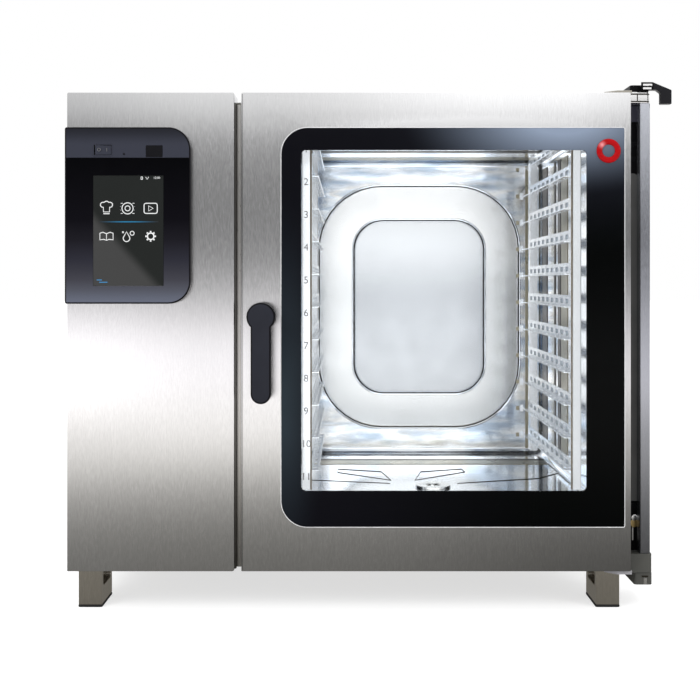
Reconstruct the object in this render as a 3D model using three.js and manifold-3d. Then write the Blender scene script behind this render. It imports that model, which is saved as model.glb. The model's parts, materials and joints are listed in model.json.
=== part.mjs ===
// A table-top combi steamer oven for eleven GN 2/1 trays, as an assembly of separate solids.
// Millimetres, +Z up. While building, x runs from the casing's middle, y back from the door's
// front face and z up from the floor; the last lines move the whole group so that its origin
// is at the middle of its base.
import * as THREE from "three";
import { mergeVertices } from "three/addons/utils/BufferGeometryUtils.js";
import Module from "manifold-3d";

const wasm = await Module();
wasm.setup();

// ---- Driving dimensions -------------------------------------------------------------------
const GAP = 0.3; // between pieces that touch
const SHEET = 1.2; // casing and chamber sheet
const casing = { half: 560, front: 74, back: 970, bottom: 75, top: 1026 };
const front = { y: 0, back: 70, bottom: 83.2, top: 1034.5 }; // door and cover share it
const cover = { left: -560, right: -228 };
const door = { left: -214, right: 560 };
const glass = { left: -134.4, right: 547.2, bottom: 171.6, top: 964.2, thick: 6, proud: 0.8 };
const glassCorner = { left: 52, right: 3 };
const window_ = { left: -120, right: 500, bottom: 218, top: 945 };
const mouth = { left: -138, right: 522, bottom: 190, top: 987 }; // of the cooking chamber
const chamber = { left: -240, right: 526, front: 100, back: 888.5, bottom: 188.5, top: 990.5 };
const emboss = [
  { left: -83, right: 466, bottom: 260, top: 922, corner: 172, rise: 3 },
  { left: 13, right: 370, bottom: 354, top: 828, corner: 80, rise: 6 },
];
const wool = 28; // insulation thickness
const drain = { x: 192, y: 350, r: 24 };
const panel = { left: -560, right: -312, bottom: 615, top: 963, proud: 20, corner: 44 };
const screen = { left: -504, right: -365, bottom: 650, top: 868 };
const rocker = { x: -484.5, z: 918, w: 35, h: 20, tilt: 7 };
const flap = { x: -383.5, z: 915.5, w: 33, h: 23, thick: 2.3 };
const grip = { x: -171, z: 590, r: 28, stem: 39.5, end: 421, proud: 60, thick: 24 };
const latch = { bore: 9, spindle: 8 };
const pivot = { x: 596, y: 45, pin: 7 }; // the door's upright hinge axis
const post = { w: 20.6, d: 28, bottom: 112, top: 1018 };
const arm = { y: [30, 170], upper: [566, 604, 1041, 1054], lower: [574, 610, 49, 73] }; // x and z
const lever = { x: 601, z: 1048.5, y: [14, 29.5], tip: 645, hook: 623, drop: 1014, under: 1042, over: 1057 };
const rail = { left: 560.3, right: 575, front: 92, back: 950, upper: 992.5, lower: 162.5 };
const foot = { w: 47.3, d: 100, pad: 5, inset: 12.7, front: 44, rear: 836 };
const rack = { x: 192, post: 272, lip: 255, postW: 18, front: 104, back: 684, first: 266.6 };
const level = { count: 11, pitch: 68, web: 24 };
const badge = { x: 515.3, z: 918.4, r: 24, hole: 12.5, thick: 3 };
// The strip behind the gap between door and post, with the shaft's rounded cover on it.
const strip = { x: [562, 596.5], y: [69, 73.5], z: [98, 1034] };
const shaftCover = { x: [565, 590.5], y: [65, 70], z: [211, 880], corner: 11 };
const fan = { y: 495, z: 590, r: 185, blades: 12, left: -226, right: -141 };
const vent = { exhaust: [420, 800, 25], intake: [-330, 800, 20], top: 1058 };

// ---- Materials ----------------------------------------------------------------------------
const look = (color, roughness, metalness) =>
  new THREE.MeshStandardMaterial({ color, roughness, metalness });
const steel = () => look(0xc9c7c3, 0.38, 1);
const polished = () => look(0xe6e8ea, 0.15, 1);
const aluminium = () => look(0xa3a6ad, 0.4, 1);
const blackMetal = () => look(0x1b1c1f, 0.45, 0.6);
const blackPlastic = () => look(0x14161a, 0.35, 0);
const charcoal = () => look(0x2b2d36, 0.5, 0);
const rubber = () => look(0x101112, 0.8, 0);
const wire = () => look(0x4b4f55, 0.6, 0);
const woolLook = () => look(0xc9b98f, 0.95, 0);
const brass = () => look(0xb08d4a, 0.35, 1);
const pane = (color) => {
  const m = look(color, 0.05, 0);
  m.transparent = true;
  m.opacity = 0.35;
  return m;
};

// ---- Shape helpers ------------------------------------------------------------------------
const toSolid = (geometry) => {
  const bare = geometry.index ? geometry.toNonIndexed() : geometry.clone();
  const points = new THREE.BufferGeometry();
  points.setAttribute("position", bare.getAttribute("position"));
  const merged = mergeVertices(points, 1e-4);
  return new wasm.Manifold(
    new wasm.Mesh({
      numProp: 3,
      vertProperties: new Float32Array(merged.attributes.position.array),
      triVerts: new Uint32Array(merged.index.array),
    }),
  );
};
const toGeometry = (body) => {
  const { vertProperties, triVerts, numProp } = body.getMesh();
  const geometry = new THREE.BufferGeometry();
  const points = new Float32Array((vertProperties.length / numProp) * 3);
  for (let i = 0; i < points.length / 3; i++)
    points.set(vertProperties.subarray(i * numProp, i * numProp + 3), i * 3);
  geometry.setAttribute("position", new THREE.BufferAttribute(points, 3));
  geometry.setIndex([...triVerts]);
  return geometry;
};
const join = (...parts) => toGeometry(parts.map(toSolid).reduce((a, b) => a.add(b)));
const cut = (base, ...tools) =>
  toGeometry(tools.map(toSolid).reduce((a, b) => a.subtract(b), toSolid(base)));

// A box between two corners, given as [x0, x1], [y0, y1], [z0, z1].
const block = ([x0, x1], [y0, y1], [z0, z1]) =>
  new THREE.BoxGeometry(x1 - x0, y1 - y0, z1 - z0).translate(
    (x0 + x1) / 2,
    (y0 + y1) / 2,
    (z0 + z1) / 2,
  );

// A closed outline of straight runs and quarter-round corners; radii start at the lower left
// corner and go round by the lower right.
const rounded = (u0, u1, v0, v1, radii) => {
  const [a, b, c, d] = Array.isArray(radii) ? radii : [radii, radii, radii, radii];
  const s = new THREE.Shape();
  s.moveTo(u0 + a, v0);
  s.lineTo(u1 - b, v0);
  if (b) s.absarc(u1 - b, v0 + b, b, -Math.PI / 2, 0);
  s.lineTo(u1, v1 - c);
  if (c) s.absarc(u1 - c, v1 - c, c, 0, Math.PI / 2);
  s.lineTo(u0 + d, v1);
  if (d) s.absarc(u0 + d, v1 - d, d, Math.PI / 2, Math.PI);
  s.lineTo(u0, v0 + a);
  if (a) s.absarc(u0 + a, v0 + a, a, Math.PI, 1.5 * Math.PI);
  return s;
};
const outline = (points) => new THREE.Shape(points.map(([u, v]) => new THREE.Vector2(u, v)));
const extrude = (shape, depth, curveSegments) =>
  new THREE.ExtrudeGeometry(shape, { depth, bevelEnabled: false, curveSegments });
const FACE_XZ = new THREE.Matrix4().makeBasis(
  new THREE.Vector3(1, 0, 0),
  new THREE.Vector3(0, 0, 1),
  new THREE.Vector3(0, -1, 0),
);
const FACE_YZ = new THREE.Matrix4().makeBasis(
  new THREE.Vector3(0, 1, 0),
  new THREE.Vector3(0, 0, 1),
  new THREE.Vector3(1, 0, 0),
);
// The same outline as a plate across y, across x or across z.
const plateY = (shape, y0, y1, n = 8) =>
  extrude(shape, y1 - y0, n).applyMatrix4(FACE_XZ).translate(0, y1, 0);
const plateX = (shape, x0, x1, n = 8) =>
  extrude(shape, x1 - x0, n).applyMatrix4(FACE_YZ).translate(x0, 0, 0);
const plateZ = (shape, z0, z1, n = 8) => extrude(shape, z1 - z0, n).translate(0, 0, z0);

// Round bars along each axis, from one end to the other.
const rodY = (x, z, r, y0, y1, n = 24) =>
  new THREE.CylinderGeometry(r, r, y1 - y0, n).translate(x, (y0 + y1) / 2, z);
const rodZ = (x, y, r, z0, z1, n = 24) =>
  new THREE.CylinderGeometry(r, r, z1 - z0, n)
    .rotateX(Math.PI / 2)
    .translate(x, y, (z0 + z1) / 2);
const rodX = (y, z, r, x0, x1, n = 24) =>
  new THREE.CylinderGeometry(r, r, x1 - x0, n)
    .rotateZ(Math.PI / 2)
    .translate((x0 + x1) / 2, y, z);

const oven = new THREE.Group();
const add = (name, geometry, material) => {
  const mesh = new THREE.Mesh(geometry, material);
  mesh.name = name;
  oven.add(mesh);
};

// ---- Feet ---------------------------------------------------------------------------------
// Folded steel box feet on rubber pads; the side that faces the middle has a pocket on top.
const makeFoot = (name, side, y0) => {
  const outer = side * (casing.half - foot.inset);
  const inner = outer - side * foot.w;
  const x = [Math.min(outer, inner), Math.max(outer, inner)];
  const y = [y0, y0 + foot.d];
  const pocket = plateX(rounded(y[0] + 14, y[1] - 14, 40, 68, 8), 0, 32, 4).translate(
    side > 0 ? x[0] - 1 : x[1] - 31,
    0,
    0,
  );
  const shell = cut(block(x, y, [foot.pad, casing.bottom]), pocket);
  add(`foot_${name}`, shell, steel());
  const pad = rounded(x[0] - 1, x[1] + 1, y[0] - 1, y[1] + 1, 5);
  add(`foot_pad_${name}`, plateZ(pad, 0, foot.pad - GAP, 4), rubber());
};
makeFoot("front_left", -1, foot.front);
makeFoot("front_right", 1, foot.front);
makeFoot("rear_left", -1, foot.rear);
makeFoot("rear_right", 1, foot.rear);

// ---- Casing -------------------------------------------------------------------------------
const inside = casing.half - SHEET - GAP;
const low = casing.bottom + GAP;
const frameBack = casing.front + 2;
const tray = { x: [-inside, inside], y: [frameBack + GAP, casing.back - SHEET - GAP] };
add(
  "base_tray",
  cut(
    block(tray.x, tray.y, [low, low + 20]),
    block(
      [tray.x[0] + SHEET, tray.x[1] - SHEET],
      [tray.y[0] + SHEET, tray.y[1] - SHEET],
      [low + 2, low + 21],
    ),
  ),
  steel(),
);
for (const [name, x0] of [
  ["left_side_panel", -casing.half],
  ["right_side_panel", casing.half - SHEET],
])
  add(
    name,
    block([x0, x0 + SHEET], [casing.front, casing.back], [low, casing.top - SHEET - GAP]),
    steel(),
  );

const inlets = { x: [-420, -360], z: 160, r: 13, bore: 7.5 };
const gland = { x: -480, z: 160, r: 15, bore: 7 };
const outlet = { x: drain.x, z: 130, r: 24, wall: 3 };
const squareY = (x, z, half) => block([x - half, x + half], [950, 990], [z - half, z + half]);
add(
  "rear_panel",
  cut(
    block([-inside, inside], [casing.back - SHEET, casing.back], [low, casing.top - SHEET - GAP]),
    ...inlets.x.map((x) => squareY(x, inlets.z, inlets.r + 1)),
    squareY(gland.x, gland.z, gland.r + 1),
    squareY(outlet.x, outlet.z, outlet.r + 1),
  ),
  steel(),
);
const exhaust = { x: vent.exhaust[0], y: vent.exhaust[1], r: vent.exhaust[2] };
const squareZ = (x, y, half) => block([x - half, x + half], [y - half, y + half], [980, 1040]);
const intake = { x: vent.intake[0], y: vent.intake[1], r: vent.intake[2] };
add(
  "roof_panel",
  cut(
    block(
      [-casing.half, casing.half],
      [casing.front, casing.back],
      [casing.top - SHEET, casing.top],
    ),
    squareZ(exhaust.x, exhaust.y, exhaust.r + 1),
    squareZ(intake.x, intake.y, intake.r + 1),
  ),
  steel(),
);
const boxWay = { left: -540, right: -254, bottom: 110, top: 1000 };
// The chamber's mouth grown by a margin all round, as a block between two depths.
const mouthBlock = (grow, y0, y1) =>
  block(
    [mouth.left - grow, mouth.right + grow],
    [y0, y1],
    [mouth.bottom - grow, mouth.top + grow],
  );
add(
  "front_frame",
  cut(
    join(
      block([-inside, inside], [casing.front, frameBack], [low, casing.top - SHEET - GAP]),
      mouthBlock(2, frameBack - 1, chamber.front - GAP),
    ),
    mouthBlock(0, 60, 120),
    block([boxWay.left, boxWay.right], [60, 90], [boxWay.bottom, boxWay.top]),
  ),
  steel(),
);
const seal = { wide: 12, out: 4 };
add(
  "door_gasket",
  cut(
    mouthBlock(seal.out + seal.wide, front.back + GAP, casing.front - GAP),
    mouthBlock(seal.out, 60, 90),
  ),
  rubber(),
);

// ---- Left front cover with the control panel -------------------------------------------------
add(
  "left_front_cover",
  cut(
    block([cover.left, cover.right], [front.y, front.back + 2], [front.bottom, front.top]),
    block(
      [cover.left + SHEET, cover.right - SHEET],
      [front.y + SHEET, front.back + 4],
      [front.bottom + SHEET, front.top - SHEET],
    ),
    block([panel.left + 30, panel.right - 30], [-5, 10], [panel.bottom + 30, panel.top - 30]),
  ),
  steel(),
);
const panelShape = rounded(panel.left, panel.right, panel.bottom, panel.top, [
  4,
  panel.corner,
  panel.corner,
  4,
]);
const wayThrough = (p, grow, y0, y1) =>
  block(
    [p.x - p.w / 2 - grow, p.x + p.w / 2 + grow],
    [y0, y1],
    [p.z - p.h / 2 - grow, p.z + p.h / 2 + grow],
  );
add(
  "control_bezel",
  cut(
    plateY(panelShape, -panel.proud, -GAP, 8),
    block([screen.left, screen.right], [-30, 10], [screen.bottom, screen.top]),
    wayThrough(rocker, 0, -30, 10),
    wayThrough(flap, 0, -30, 10),
  ),
  blackPlastic(),
);
add(
  "touch_display",
  block(
    [screen.left + GAP, screen.right - GAP],
    [-panel.proud + 0.5, -4],
    [screen.bottom + GAP, screen.top - GAP],
  ),
  look(0x262a2b, 0.1, 0),
);
add("control_board", block([-520, -345], [3, 6], [655, 900]), look(0x1f5a35, 0.6, 0));
// The rocker is V-shaped in plan and rests with its right end pressed in.
const rockerShape = outline([
  [-16, -8.6],
  [0, -7],
  [16, -8.6],
  [13, 4],
  [-13, 4],
]);
add(
  "power_rocker",
  plateZ(rockerShape, -9.4, 9.4)
    .rotateZ(THREE.MathUtils.degToRad(rocker.tilt))
    .translate(rocker.x, -12, rocker.z),
  blackPlastic(),
);
add(
  "usb_flap",
  wayThrough(flap, -GAP, -panel.proud - 0.5, -panel.proud - 0.5 + flap.thick),
  rubber(),
);

// ---- Cooking chamber ----------------------------------------------------------------------
const chamberInner = {
  x: [chamber.left + SHEET, chamber.right - SHEET],
  y: [chamber.front + SHEET, chamber.back - SHEET],
  z: [chamber.bottom + SHEET, chamber.top - SHEET],
};
const embossPlates = emboss.map((e) =>
  plateY(
    rounded(e.left, e.right, e.bottom, e.top, e.corner),
    chamberInner.y[1] - e.rise,
    chamberInner.y[1] + 1,
    10,
  ),
);
const shell = cut(
  block([chamber.left, chamber.right], [chamber.front, chamber.back], [chamber.bottom, chamber.top]),
  block(chamberInner.x, chamberInner.y, chamberInner.z),
  mouthBlock(0, 90, 110),
);
add(
  "oven_chamber",
  cut(
    join(shell, ...embossPlates),
    block([drain.x - 23, drain.x + 23], [drain.y - 23, drain.y + 23], [180, 200]),
    squareZ(exhaust.x, exhaust.y, exhaust.r - 2),
    block([-250, -230], [fan.y - 16, fan.y + 16], [fan.z - 16, fan.z + 16]),
  ),
  polished(),
);
add(
  "chamber_insulation",
  cut(
    block(
      [chamber.left - wool, chamber.right + wool + 2],
      [chamber.front + 4, chamber.back + wool + 10],
      [chamber.bottom - wool, chamber.top + wool],
    ),
    block(
      [chamber.left - GAP, chamber.right + GAP],
      [chamber.front, chamber.back + GAP],
      [chamber.bottom - GAP, chamber.top + GAP],
    ),
    rodZ(drain.x, drain.y, drain.r + 6, 150, 200),
    rodZ(exhaust.x, exhaust.y, exhaust.r + 1.5, 980, 1030),
    rodX(fan.y, fan.z, 30, -280, -230),
  ),
  woolLook(),
);
const suction = { x: [-126, -124.5], y: [112, 878], z: [200, 980], slot: 110, pitch: 40 };
const slots = [-2, -1, 0, 1, 2].map((i) => {
  const z = fan.z + i * suction.pitch;
  return block([-130, -120], [fan.y - suction.slot, fan.y + suction.slot], [z - 5, z + 5]);
});
add(
  "suction_panel",
  cut(block(suction.x, suction.y, suction.z), ...slots),
  polished(),
);
add(
  "drain_strainer",
  cut(
    join(
      rodZ(drain.x, drain.y, drain.r + 16, chamberInner.z[0] + GAP, 195),
      rodZ(drain.x, drain.y, drain.r - 2, 182, 193),
    ),
    ...[0, 1, 2, 3].map((i) =>
      new THREE.BoxGeometry(8, 36, 40)
        .rotateZ((i * Math.PI) / 4)
        .translate(drain.x, drain.y, 190),
    ),
  ),
  polished(),
);

// ---- Racks --------------------------------------------------------------------------------
// Each rack hangs two upright channels and eleven angle rails, whose lips carry the trays.
const makeRack = (name, side) => {
  const across = (a, b) => {
    const u = rack.x + side * a;
    const v = rack.x + side * b;
    return [Math.min(u, v), Math.max(u, v)];
  };
  const tall = [rack.first - 40, rack.first + level.pitch * (level.count - 1) + 36];
  const upright = (y0) => block(across(rack.post, rack.post + rack.postW), [y0, y0 + 20], tall);
  const rails = Array.from({ length: level.count }, (_, i) => {
    const z = rack.first + i * level.pitch;
    const y = [rack.front + 4, rack.back - 4];
    return join(
      block(across(rack.lip, rack.post + 1), y, [z - 2, z]),
      block(across(rack.post - 1, rack.post + 1), y, [z - 2, z + level.web]),
    );
  });
  add(
    name,
    join(upright(rack.front), upright(rack.back - 20), ...rails),
    polished(),
  );
};
makeRack("left_rack", -1);
makeRack("right_rack", 1);

// ---- Fan, heater and steam ------------------------------------------------------------------
const motor = { r: 72, flange: 85, back: -460, front: -290, face: -274, box: 30 };
const hub = join(
  rodX(fan.y, fan.z, 12, -272, fan.left + 5),
  rodX(fan.y, fan.z, 36, fan.left, fan.right - 5, 24),
  rodX(fan.y, fan.z, fan.r, fan.left, fan.left + 3, 36),
);
const blades = Array.from({ length: fan.blades }, (_, i) =>
  new THREE.BoxGeometry(fan.right - fan.left - 8, 3, fan.r - 32)
    .translate((fan.left + fan.right) / 2 - 2, 0, (fan.r + 28) / 2)
    .rotateX((i * 2 * Math.PI) / fan.blades)
    .translate(0, fan.y, fan.z),
);
add("fan_wheel", join(hub, ...blades), steel());
add(
  "fan_motor",
  join(
    rodX(fan.y, fan.z, motor.r, motor.back, motor.front, 32),
    rodX(fan.y, fan.z, motor.flange, motor.front, motor.face, 32),
    block(
      [motor.back + motor.box, motor.front - 40],
      [fan.y - motor.box, fan.y + motor.box],
      [fan.z + 60, fan.z + 100],
    ),
  ),
  aluminium(),
);
const heater = { r: 216, rod: 7, x: [-207, -181], clip: [44, 10, 18] };
const coil = (x) =>
  new THREE.TorusGeometry(heater.r, heater.rod, 6, 36)
    .rotateY(Math.PI / 2)
    .translate(x, fan.y, fan.z);
const coilClip = (turn) =>
  new THREE.BoxGeometry(...heater.clip)
    .translate((heater.x[0] + heater.x[1]) / 2, 0, heater.r)
    .rotateX(turn)
    .translate(0, fan.y, fan.z);
add(
  "heating_element",
  join(...heater.x.map(coil), ...[0, 1, 2, 3].map((i) => coilClip(i * (Math.PI / 2) + 0.4))),
  wire(),
);
const injector = { x: -133, r: 3.4, back: 700, tip: 545, top: 984, end: 640 };
const injection = new THREE.CurvePath();
const bend = [
  new THREE.Vector3(injector.x, injector.back, injector.top),
  new THREE.Vector3(injector.x, injector.back, injector.end + 120),
  new THREE.Vector3(injector.x, injector.back - 80, injector.end),
  new THREE.Vector3(injector.x, injector.tip, injector.end),
];
injection.add(new THREE.LineCurve3(bend[0], bend[1]));
injection.add(
  new THREE.QuadraticBezierCurve3(
    bend[1],
    new THREE.Vector3(injector.x, injector.back, injector.end),
    bend[2],
  ),
);
injection.add(new THREE.LineCurve3(bend[2], bend[3]));
const ringShape = new THREE.Shape().absarc(0, 0, injector.r, 0, 2 * Math.PI);
add(
  "water_injection_tube",
  new THREE.ExtrudeGeometry(ringShape, {
    steps: 24,
    curveSegments: 5,
    bevelEnabled: false,
    extrudePath: injection,
  }),
  steel(),
);

// ---- Drain and services ---------------------------------------------------------------------
const quench = { x: [60, 330], y: [300, 700], z: [98, 156] };
const shrink = ([a, b]) => [a + SHEET, b - SHEET];
add(
  "condensate_box",
  cut(
    join(
      block(quench.x, quench.y, quench.z),
      rodZ(drain.x, drain.y, drain.r + 3, 140, chamber.bottom - GAP),
    ),
    block(shrink(quench.x), shrink(quench.y), shrink(quench.z)),
    rodZ(drain.x, drain.y, drain.r, 120, 200),
    rodY(outlet.x, outlet.z, outlet.r - outlet.wall, 690, 710),
  ),
  steel(),
);
add(
  "drain_outlet",
  cut(
    rodY(outlet.x, outlet.z, outlet.r, quench.y[1] + GAP, 992),
    rodY(outlet.x, outlet.z, outlet.r - outlet.wall, 690, 1000),
  ),
  steel(),
);
add(
  "water_inlet_valve",
  cut(
    join(
      block([inlets.x[0] - 25, inlets.x[1] + 25], [900, 950], [130, 190]),
      ...inlets.x.map((x) => rodY(x, inlets.z, inlets.r, 940, 992)),
    ),
    ...inlets.x.map((x) => rodY(x, inlets.z, inlets.bore, 960, 1000)),
  ),
  brass(),
);
add(
  "cable_gland",
  cut(
    join(
      rodY(gland.x, gland.z, gland.r, 955, 988),
      rodY(gland.x, gland.z, 22, casing.back + GAP, 979, 6),
      rodY(gland.x, gland.z, 22, 955, casing.back - SHEET - GAP, 6),
    ),
    rodY(gland.x, gland.z, gland.bore, 900, 1000),
  ),
  blackPlastic(),
);
const stub = (name, v, z0) =>
  add(
    name,
    cut(rodZ(v.x, v.y, v.r, z0, vent.top, 32), rodZ(v.x, v.y, v.r - 2, 900, 1100, 32)),
    steel(),
  );
stub("exhaust_stub", exhaust, chamber.top + GAP);
stub("air_intake_stub", intake, 985);
const contactor = { x: [-553, -480], y: 620, z: 300, deep: 70, tall: 80, column: 90, row: 120 };
const contactors = [0, 1, 2, 3, 4, 5].map((i) => {
  const y = contactor.y + contactor.column * (i % 3);
  const z = contactor.z + contactor.row * Math.floor(i / 3);
  return block(contactor.x, [y, y + contactor.deep], [z, z + contactor.tall]);
});
add(
  "contactor_panel",
  join(block([-556, -552], [600, 900], [250, 550]), ...contactors),
  look(0x8a8d90, 0.6, 0),
);

// ---- Door leaf ----------------------------------------------------------------------------
const glassShape = (grow) =>
  rounded(glass.left - grow, glass.right + grow, glass.bottom - grow, glass.top + grow, [
    glassCorner.left,
    glassCorner.right,
    glassCorner.right,
    glassCorner.left,
  ]);
const spindleHole = rodY(grip.x, grip.z, latch.bore, -10, 90);
add(
  "door_outer_frame",
  cut(
    block([door.left, door.right], [front.y, front.back - 4], [front.bottom, front.top]),
    block(
      [door.left + SHEET, door.right - SHEET],
      [front.y + SHEET, front.back],
      [front.bottom + SHEET, front.top - SHEET],
    ),
    plateY(glassShape(0), -5, 10, 8),
    spindleHole,
  ),
  steel(),
);
add(
  "door_outer_glass",
  plateY(glassShape(-0.4), -glass.proud, glass.thick - glass.proud, 8),
  pane(0x11141a),
);
const innerFrame = {
  left: door.left + SHEET + GAP,
  right: door.right - SHEET - GAP,
  bottom: 108,
  top: front.top - SHEET - GAP,
};
const windowBlock = (grow, y0, y1) =>
  block(
    [window_.left - grow, window_.right + grow],
    [y0, y1],
    [window_.bottom - grow, window_.top + grow],
  );
add(
  "door_inner_frame",
  cut(
    block(
      [innerFrame.left, innerFrame.right],
      [front.back - 20, front.back - GAP],
      [innerFrame.bottom, innerFrame.top],
    ),
    cut(
      block(
        [innerFrame.left + 2, innerFrame.right - 2],
        [front.back - 21, front.back - 2],
        [innerFrame.bottom + 2, innerFrame.top - 2],
      ),
      windowBlock(12, 30, 80),
    ),
    windowBlock(0, 40, 80),
    spindleHole,
    block([grip.x - 24, grip.x + 24], [60, 80], [grip.z - 30, grip.z + 30]),
  ),
  steel(),
);
add(
  "door_inner_glass",
  windowBlock(10, 43.5, 49.5),
  pane(0xe8ecef),
);
const drip = { x: [door.left + 20, door.right - 20], y: [48, front.back - GAP], z: [88, 104] };
add(
  "door_drip_tray",
  cut(
    block(drip.x, drip.y, drip.z),
    block(shrink(drip.x), shrink(drip.y), [drip.z[0] + SHEET, drip.z[1] + 5]),
  ),
  polished(),
);
add(
  "door_badge",
  cut(
    rodY(badge.x, badge.z, badge.r, -glass.proud - GAP - badge.thick, -glass.proud - GAP, 32),
    rodY(badge.x, badge.z, badge.hole, -10, 0, 32),
  ),
  look(0xb5121b, 0.25, 0),
);

// ---- Handle -------------------------------------------------------------------------------
const stemHalf = grip.stem / 2;
const stemShape = rounded(
  grip.x - stemHalf,
  grip.x + stemHalf,
  grip.end,
  grip.z,
  [stemHalf - 0.01, stemHalf - 0.01, 0, 0],
);
add(
  "handle_escutcheon",
  cut(rodY(grip.x, grip.z, 24, -6, -GAP, 32), rodY(grip.x, grip.z, latch.bore, -10, 5)),
  blackMetal(),
);
add(
  "door_handle",
  join(
    rodY(grip.x, grip.z, grip.r, -grip.proud, -grip.proud + grip.thick + 6, 32),
    rodY(grip.x, grip.z, 21, -grip.proud + grip.thick, -6 - GAP, 32),
    plateY(stemShape, -grip.proud, -grip.proud + grip.thick, 10),
  ),
  charcoal(),
);
// The spindle ends in a flat cam that turns in its own pocket on the door's inner face.
add(
  "latch_spindle",
  join(
    rodY(grip.x, grip.z, latch.spindle, -6, 66),
    plateY(rounded(grip.x - 8, grip.x + 8, grip.z - 22, grip.z + 8, 7.9), 62, 66, 5),
  ),
  steel(),
);
add(
  "latch_keeper",
  block([grip.x - 9, grip.x + 9], [68.5, casing.front - GAP], [grip.z - 14, grip.z + 14]),
  steel(),
);

// ---- Hinge side ---------------------------------------------------------------------------
const hingePlate = (name, z0, z1) =>
  add(
    name,
    plateZ(
      outline([
        [513, 28],
        [535, 8],
        [564, 8],
        [564, 42],
        [513, 42],
      ]),
      z0,
      z1,
    ),
    steel(),
  );
hingePlate("hinge_plate_top", front.top + GAP, 1040);
hingePlate("hinge_plate_bottom", 75, front.bottom - GAP);
const knuckle = { left: 564.3, y: [27, 63], upper: 605, lower: 609.5 };
const knuckleBlock = (right, z0, z1) =>
  plateZ(rounded(knuckle.left, right, ...knuckle.y, [2, 9, 9, 2]), z0, z1, 4);
add(
  "hinge_knuckle_top",
  join(
    knuckleBlock(knuckle.upper, post.top + GAP, 1040),
    rodZ(pivot.x, pivot.y, pivot.pin, 1040, 1052),
  ),
  polished(),
);
add(
  "hinge_knuckle_bottom",
  knuckleBlock(knuckle.lower, arm.lower[3] + 2 * GAP, post.bottom - GAP),
  blackMetal(),
);
add(
  "hinge_pin_bottom",
  rodZ(pivot.x, pivot.y, pivot.pin, 56, 73.3),
  polished(),
);
add(
  "hinge_post",
  plateZ(
    rounded(
      pivot.x - post.w / 2,
      pivot.x + post.w / 2,
      pivot.y - post.d / 2,
      pivot.y + post.d / 2,
      3,
    ),
    post.bottom,
    post.top,
    4,
  ),
  aluminium(),
);

const railProfile = (z) => {
  const [a, b, t] = [rail.left, rail.right, 3];
  return cut(
    block([a, b], [rail.front, rail.back], [z - 17.5, z + 17.5]),
    block([a + t, b - 2], [rail.front - 5, rail.back - 10], [z - 14, z + 14]),
    block([b - 3, b + 1], [rail.front - 5, rail.back - 10], [z - 7, z + 7]),
  );
};
add("upper_guide_rail", railProfile(rail.upper), aluminium());
add("lower_guide_rail", railProfile(rail.lower), aluminium());

// A carriage has a bored arm for the door's pin, an upright plate and two rollers in the rail.
const bore = rodZ(pivot.x, pivot.y, pivot.pin + 0.6, 0, 1100);
const armPlate = ([left, right, z0, z1]) =>
  cut(plateZ(rounded(left, right, ...arm.y, [6, 6, 0, 0]), z0, z1, 4), bore);
const plate = { x: [577.5, 583.5], y: [76, 170] };
const rollers = (z) =>
  [100, 145].flatMap((y) => [
    rodX(y, z, 12, rail.left + 4, rail.right - 3, 16),
    rodX(y, z, 5, rail.left + 4, plate.x[0] + 1, 12),
  ]);
add(
  "top_carriage",
  join(
    armPlate(arm.upper),
    block(plate.x, plate.y, [rail.upper - 17, arm.upper[3] - 1]),
    ...rollers(rail.upper),
    rodY(lever.x, lever.z, 3, lever.y[0] - 2, 36, 16),
  ),
  blackMetal(),
);
add(
  "bottom_carriage",
  join(
    armPlate(arm.lower),
    block(plate.x, plate.y, [arm.lower[2] + 1, rail.lower + 17]),
    ...rollers(rail.lower),
  ),
  blackMetal(),
);
add(
  "synchro_shaft_cover",
  join(
    block(strip.x, strip.y, strip.z),
    plateY(
      rounded(...shaftCover.x, ...shaftCover.z, [2, 2, shaftCover.corner, shaftCover.corner]),
      ...shaftCover.y,
      5,
    ),
  ),
  wire(),
);
const leverShape = outline([
  [lever.x - 6, lever.under + 5],
  [lever.x, lever.under],
  [lever.x + 14, lever.under],
  [lever.hook, lever.under - 6],
  [lever.hook, lever.drop],
  [lever.tip, lever.drop],
  [lever.tip, lever.under],
  [lever.x + 8, lever.over],
  [lever.x - 6, lever.over],
]);
add(
  "lock_lever",
  cut(
    plateY(leverShape, ...lever.y),
    rodY(lever.x, lever.z, 3.5, 0, 40, 16),
  ),
  blackPlastic(),
);

// ---- Placement ----------------------------------------------------------------------------
const size = new THREE.Box3().setFromObject(oven);
oven.position.set(-(size.min.x + size.max.x) / 2, -(size.min.y + size.max.y) / 2, -size.min.z);

export default oven;
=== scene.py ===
"""The looks of a table-top combi steamer oven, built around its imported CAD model."""

import json
import math

import bmesh
import bpy
from mathutils import Matrix, Vector


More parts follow.
